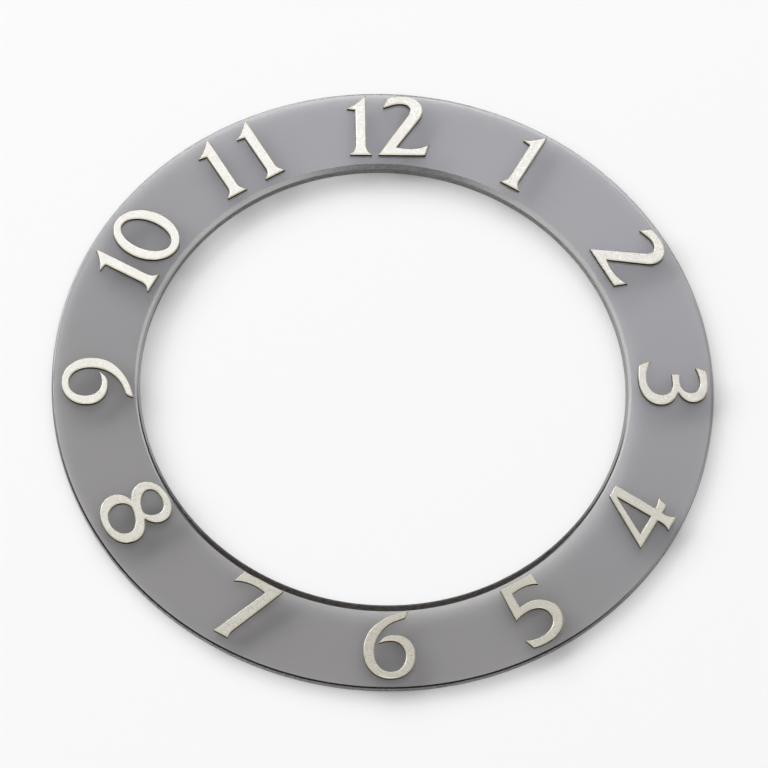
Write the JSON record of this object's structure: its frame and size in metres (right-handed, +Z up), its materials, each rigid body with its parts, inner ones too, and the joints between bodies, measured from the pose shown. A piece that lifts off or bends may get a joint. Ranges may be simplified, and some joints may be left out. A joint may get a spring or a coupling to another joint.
{
  "type": "watch chapter ring",
  "caption": "Flat, slightly dished smoked glass ring with applied metal hour figures around it, seated on its outer edge and open at the centre for a dial.",
  "frame": {"origin": "on the ring's axis, in the plane of the flat seat under its outer edge", "axes": "+Z up through the numerals' face along the ring's axis, +Y towards 12 o'clock, +X towards 3 o'clock"},
  "size_m": [0.033, 0.033, 0.0009],
  "materials": {
    "smoked_glass": "polished faces, ground edges",
    "satin_nickel": "satin",
    "bond_film": "matt"
  },
  "bodies": {
    "root": {"ring_plate": "smoked_glass", "numeral_adhesive": "bond_film", "numeral_1": "satin_nickel", "numeral_2": "satin_nickel", "numeral_3": "satin_nickel", "numeral_4": "satin_nickel", "numeral_5": "satin_nickel", "numeral_6": "satin_nickel", "numeral_7": "satin_nickel", "numeral_8": "satin_nickel", "numeral_9": "satin_nickel", "numeral_10_one": "satin_nickel", "numeral_10_zero": "satin_nickel", "numeral_11_left": "satin_nickel", "numeral_11_right": "satin_nickel", "numeral_12_one": "satin_nickel", "numeral_12_two": "satin_nickel"}
  },
  "joints": []
}
